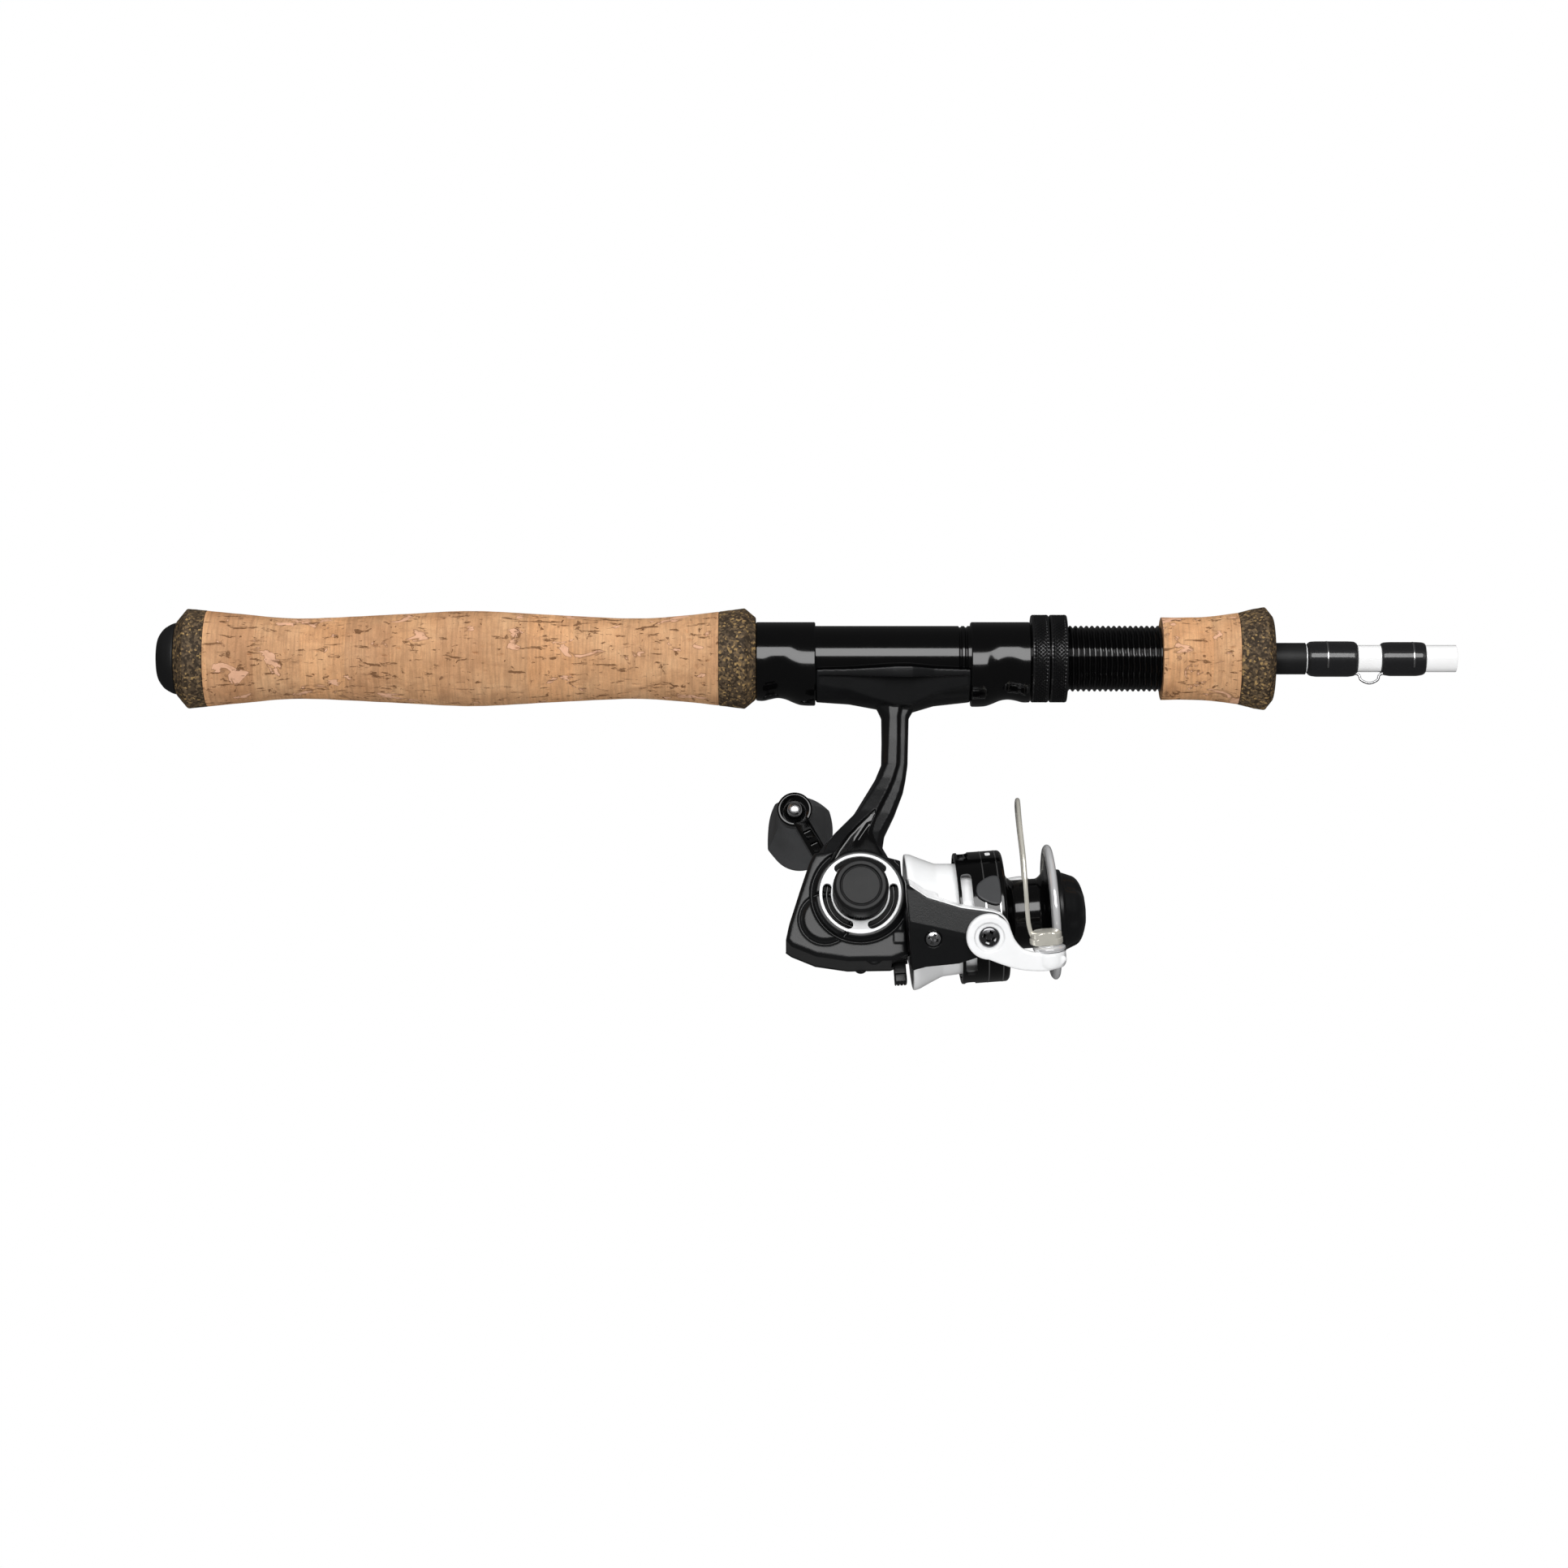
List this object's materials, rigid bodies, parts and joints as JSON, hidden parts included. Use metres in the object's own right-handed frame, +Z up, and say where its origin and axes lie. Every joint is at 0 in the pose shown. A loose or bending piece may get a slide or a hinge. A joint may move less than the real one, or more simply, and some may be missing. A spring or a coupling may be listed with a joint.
{
  "type": "fishing rod and reel",
  "caption": "Butt section of a spinning rod with cork grips, screw-lock reel seat and open ferrule end, fitted with a small open-face spinning reel with bail, crank and drag.",
  "frame": {"origin": "on the rod's axis, directly above the reel's stem, where the hand closes round the seat", "axes": "+X along the rod towards its tip, +Z up with the reel hanging below, crank on the +Y side"},
  "size_m": [0.355, 0.0891, 0.107],
  "materials": {
    "cork": "natural cork with pits and filler, matt",
    "burl": "dark burl cork composite, matt",
    "gloss_black": "moulded, high gloss",
    "satin_black": "satin textured paint",
    "knurled_black": "black anodised, knurled",
    "matt_black": "soft-touch, matt",
    "gloss_white": "white, glossy",
    "white_blank": "white lacquered glass-fibre tube",
    "steel": "bright steel",
    "chrome": "polished",
    "brass": "machined",
    "zinc": "die cast, dull",
    "felt": "greased friction washers",
    "silver_trim": "metallic trim thread"
  },
  "bodies": {
    "rod_and_frame": {"butt_cap": "matt_black", "rear_grip_butt_ring": "burl", "rear_grip": "cork", "rear_grip_front_ring": "burl", "seat_tube": "gloss_black", "seat_arbor_rear": "matt_black", "seat_arbor_front": "matt_black", "fixed_hood": "gloss_black", "fore_grip": "cork", "fore_grip_ring": "burl", "blank": "white_blank", "ferrule_socket": "white_blank", "blank_sleeve": "matt_black", "keeper_wrap_rear": "gloss_black", "keeper_wrap_front": "gloss_black", "keeper_trim_rear": "silver_trim", "keeper_trim_front": "silver_trim", "hook_keeper": "steel", "reel_frame": "satin_black", "side_cover": "satin_black", "cover_screw_1": "steel", "cover_screw_2": "steel", "side_ring": "gloss_white", "bearing_near": "steel", "bearing_far": "steel", "pinion_bearing": "steel", "one_way_clutch": "steel"},
    "hood": {"sliding_hood": "gloss_black"},
    "lock_nut": {"lock_nut": "knurled_black"},
    "jam_nut": {"jam_nut": "knurled_black"},
    "reverse_lever": {"anti_reverse_lever": "satin_black"},
    "handle": {"drive_shaft": "steel", "drive_gear": "zinc", "handle_cap": "matt_black", "crank_arm": "gloss_black", "knob_pin": "steel"},
    "knob": {"handle_knob": "matt_black"},
    "oscillation": {"oscillation_gear": "brass"},
    "rotor": {"rotor": "gloss_white", "rotor_nut": "steel", "pinion": "brass", "arm_cover_near": "satin_black", "arm_cover_far": "satin_black", "arm_cover_screw_near": "steel", "arm_cover_screw_far": "steel", "bail_spring": "steel", "bail_pivot_screw_near": "steel", "bail_pivot_screw_far": "steel"},
    "bail": {"bail_arm": "gloss_white", "bail_holder": "gloss_white", "bail_wire": "chrome", "roller_cap": "chrome"},
    "roller": {"line_roller": "brass"},
    "spindle": {"spindle": "steel", "oscillation_slider": "zinc"},
    "spool": {"spool": "gloss_black", "spool_lip": "chrome", "line_clip": "matt_black", "drag_washers": "felt"},
    "drag": {"drag_knob": "satin_black"}
  },
  "joints": [
    {"name": "handle_turn", "type": "hinge", "parent": "rod_and_frame", "child": "handle", "pos_m": [-0.0094, 0, -0.0692], "axis": [0, 1, 0], "continuous": true},
    {"name": "knob_spin", "type": "hinge", "parent": "handle", "child": "knob", "pos_m": [-0.0268, 0.045, -0.03519], "axis": [0, 1, 0], "continuous": true},
    {"name": "oscillation_turn", "type": "hinge", "parent": "rod_and_frame", "child": "oscillation", "pos_m": [-0.016, 0, -0.075], "axis": [0, 1, 0], "continuous": true},
    {"name": "rotor_spin", "type": "hinge", "parent": "rod_and_frame", "child": "rotor", "pos_m": [0.02266, 0, -0.07259], "axis": [0.9973, 0, 0.0732], "continuous": true},
    {"name": "bail_open", "type": "hinge", "parent": "rotor", "child": "bail", "pos_m": [0.02346, 0, -0.07253], "axis": [-0.0307, 0.9078, 0.4183], "range_deg": [0, 100]},
    {"name": "line_roller_spin", "type": "hinge", "parent": "bail", "child": "roller", "pos_m": [0.0402, -0.01965, -0.08483], "axis": [-0.0665, -0.4195, 0.9053], "continuous": true},
    {"name": "spool_slide", "type": "slide", "parent": "rod_and_frame", "child": "spindle", "axis": [0.9973, 0, 0.0732], "range_m": [-0.004, 0.004]},
    {"name": "spool_spin", "type": "hinge", "parent": "spindle", "child": "spool", "pos_m": [0.02266, 0, -0.07259], "axis": [0.9973, 0, 0.0732], "continuous": true},
    {"name": "drag_turn", "type": "hinge", "parent": "spindle", "child": "drag", "pos_m": [0.02266, 0, -0.07259], "axis": [0.9973, 0, 0.0732], "range_deg": [-540, 540]},
    {"name": "reverse_lever_flip", "type": "hinge", "parent": "rod_and_frame", "child": "reverse_lever", "pos_m": [0.00142, 0, -0.08378], "axis": [0.9973, 0, 0.0732], "range_deg": [0, 32]},
    {"name": "hood_slide", "type": "slide", "parent": "rod_and_frame", "child": "hood", "axis": [1, 0, 0], "range_m": [0, 0.012]},
    {"name": "lock_nut_turn", "type": "hinge", "parent": "hood", "child": "lock_nut", "pos_m": [0.04, 0, 0], "axis": [1, 0, 0], "range_deg": [0, 2880]},
    {"name": "jam_nut_turn", "type": "hinge", "parent": "hood", "child": "jam_nut", "pos_m": [0.045, 0, 0], "axis": [1, 0, 0], "range_deg": [0, 2880]}
  ],
  "couplings": [
    {"joint": "rotor_spin", "follows": "handle_turn", "ratio": 5.1667},
    {"joint": "oscillation_turn", "follows": "handle_turn", "ratio": -0.75},
    {"joint": "lock_nut_turn", "follows": "hood_slide", "rad_per_m": 4188.8},
    {"joint": "jam_nut_turn", "follows": "hood_slide", "rad_per_m": 4188.8}
  ]
}
